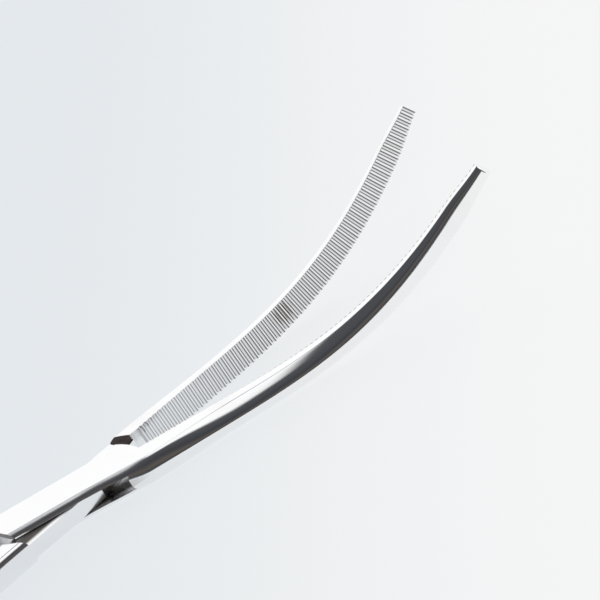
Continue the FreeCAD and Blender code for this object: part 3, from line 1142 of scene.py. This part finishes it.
@dataclass(frozen=True)
class Studio:
    """Pale floor, soft surroundings and the camera at the photograph's angle."""

    elevation: float = 28.28
    azimuth: float = -5.17
    roll: float = 32.9
    distance: float = 0.3409
    aim: Triple = (0.03537, -0.00024, 0.0063)
    lens: float = 172.88
    sensor: float = 36.0
    floor_size: float = 3.0
    floor_colour: Colour = (0.90, 0.93, 0.95)
    near_tone: Colour = (0.84, 0.88, 0.91)
    far_tone: Colour = (1.0, 1.0, 1.0)
    fade_direction: Triple = (0.93, -0.38, 0.0)
    fade_ends: Stretch = (-0.015, 0.07)
    glow_share: float = 0.85
    dark_side: Stretch = (-0.26, -0.12)
    low: Colour = (0.15, 0.155, 0.17)
    deep: Colour = (0.048, 0.050, 0.058)
    warm: Colour = (0.11, 0.098, 0.085)
    dark: Colour = (0.07, 0.072, 0.08)
    dim: Colour = (0.22, 0.23, 0.29)
    bright: Colour = (1.04, 1.04, 1.04)

    def camera(self) -> None:
        """Places the camera by its elevation, azimuth and roll about the aim."""
        azimuth, elevation = math.radians(self.azimuth), math.radians(self.elevation)
        roll = math.radians(self.roll)
        back = Vector((
            math.cos(elevation) * math.sin(azimuth),
            -math.cos(elevation) * math.cos(azimuth),
            math.sin(elevation)))
        level = Vector((0.0, 0.0, 1.0)).cross(back).normalized()
        upright = back.cross(level)
        right = level * math.cos(roll) - upright * math.sin(roll)
        up = level * math.sin(roll) + upright * math.cos(roll)
        lens = bpy.data.cameras.new("camera")
        lens.sensor_width = self.sensor
        lens.lens = self.lens
        lens.clip_start = 0.01
        camera = placed("camera", lens)
        place = Matrix((right, up, back)).transposed().to_4x4()
        place.translation = Vector(self.aim) + back * self.distance
        camera.matrix_world = place
        bpy.context.scene.camera = camera

    def floor(self) -> None:
        """Lays the pale floor at the height that the forceps rest on.

        It takes light and shadow as a matt surface. What the camera and mirror-like faces see
        is for the most part its own even tone, which fades from one side to the other.
        """
        half = self.floor_size / 2
        mesh = bpy.data.meshes.new("floor")
        corners = [(-half, -half, 0.0), (half, -half, 0.0), (half, half, 0.0), (-half, half, 0.0)]
        mesh.from_pydata(corners, [], [(0, 1, 2, 3)])
        floor = placed("floor", mesh)
        paint = bpy.data.materials.new("pale_floor")
        graph = NodeGraph.of(paint)
        shader = graph.nodes["Principled BSDF"]
        graph.feed(shader.inputs["Base Color"], self.floor_colour)
        graph.feed(shader.inputs["Roughness"], 0.9)
        graph.feed(shader.inputs["Specular IOR Level"], 0.1)
        where = graph.nodes.new("ShaderNodeTexCoord").outputs["Object"]
        fade = graph.ramp(graph.along(where, self.fade_direction), self.fade_ends)
        glow = graph.add("Emission", {"Color": graph.mixed(fade, self.near_tone, self.far_tone)})
        rays = graph.nodes.new("ShaderNodeLightPath").outputs
        seen = graph.joined(
            "MAXIMUM", rays["Is Camera Ray"], rays["Is Glossy Ray"], rays["Is Transmission Ray"])
        share = graph.scaled(seen, self.glow_share)
        mix = graph.add("MixShader", {0: share, 1: shader.outputs[0], 2: glow})
        graph.feed(graph.nodes["Material Output"].inputs["Surface"], mix)
        mesh.materials.append(paint)

    def surroundings(self) -> None:
        """Lights the scene by a soft sky of broad bands, banded by the angle over the X axis.

        The angle runs from the horizon on the camera's side, over the top, to the horizon
        behind the forceps, and is that of the direction's height over its minus Y. Behind the
        rings the bright band overhead gives way to a dark one.
        """
        world = bpy.data.worlds.new("studio")
        bpy.context.scene.world = world
        graph = NodeGraph.of(world)
        x, y, z = graph.parts(graph.nodes.new("ShaderNodeTexCoord").outputs["Generated"])
        angle = graph.add("Math", {0: z, 1: graph.scaled(y, -1.0)}, operation="ARCTAN2")
        share = graph.add("Math", {0: angle, 1: math.pi}, operation="DIVIDE")
        low_bands = [
            (0.0, self.low), (12.0, self.deep), (28.0, self.warm), (44.0, self.deep),
            (60.0, self.dark)]
        ahead = self.bands(graph, share, low_bands + [
            (68.0, self.dark), (74.0, self.bright), (108.0, self.bright), (113.0, self.dim),
            (119.0, self.dim), (125.0, self.bright), (180.0, self.bright)])
        aside = self.bands(graph, share, low_bands + [
            (134.0, self.dark), (140.0, self.dim), (146.0, self.bright), (180.0, self.bright)])
        background = graph.nodes["Background"].inputs
        graph.feed(background["Color"], graph.mixed(graph.ramp(x, self.dark_side), aside, ahead))
        graph.feed(background["Strength"], 1.0)

    @staticmethod
    def bands(graph: NodeGraph, share: Socket, stops: list[tuple[float, Colour]]) -> Socket:
        """Colour ramp over the angle, as a share of half a turn.

        Args:
            graph: The world's nodes.
            share: Socket of the angle's share.
            stops: Pairs of degrees and colour, from 0 to 180 degrees.

        Returns:
            Socket of the colour.
        """
        node = graph.nodes.new("ShaderNodeValToRGB")
        graph.feed(node.inputs[0], share)
        elements = node.color_ramp.elements
        elements[0].color = (*stops[0][1], 1.0)
        elements[1].color = (*stops[-1][1], 1.0)
        for degrees, colour in stops[1:-1]:
            elements.new(degrees / 180.0).color = (*colour, 1.0)
        return node.outputs["Color"]


def main() -> None:
    """Builds the studio and both halves round the frame, and dresses the pivot pin."""
    logging.basicConfig(level=logging.INFO)
    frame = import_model()
    bpy.context.scene.view_settings.view_transform = "Standard"
    studio = Studio()
    studio.camera()
    studio.floor()
    studio.surroundings()
    for half in Half:
        piece = ForcepsHalf(half).build()
        LOG.info("%s: %d faces", piece.name, len(piece.data.polygons))
    SteelFinish(name="pin_satin", roughness=0.19).dress(frame["nodes"]["pivot_pin"])
    LOG.info("pivot pin dressed")


if __name__ == "__main__":
    main()
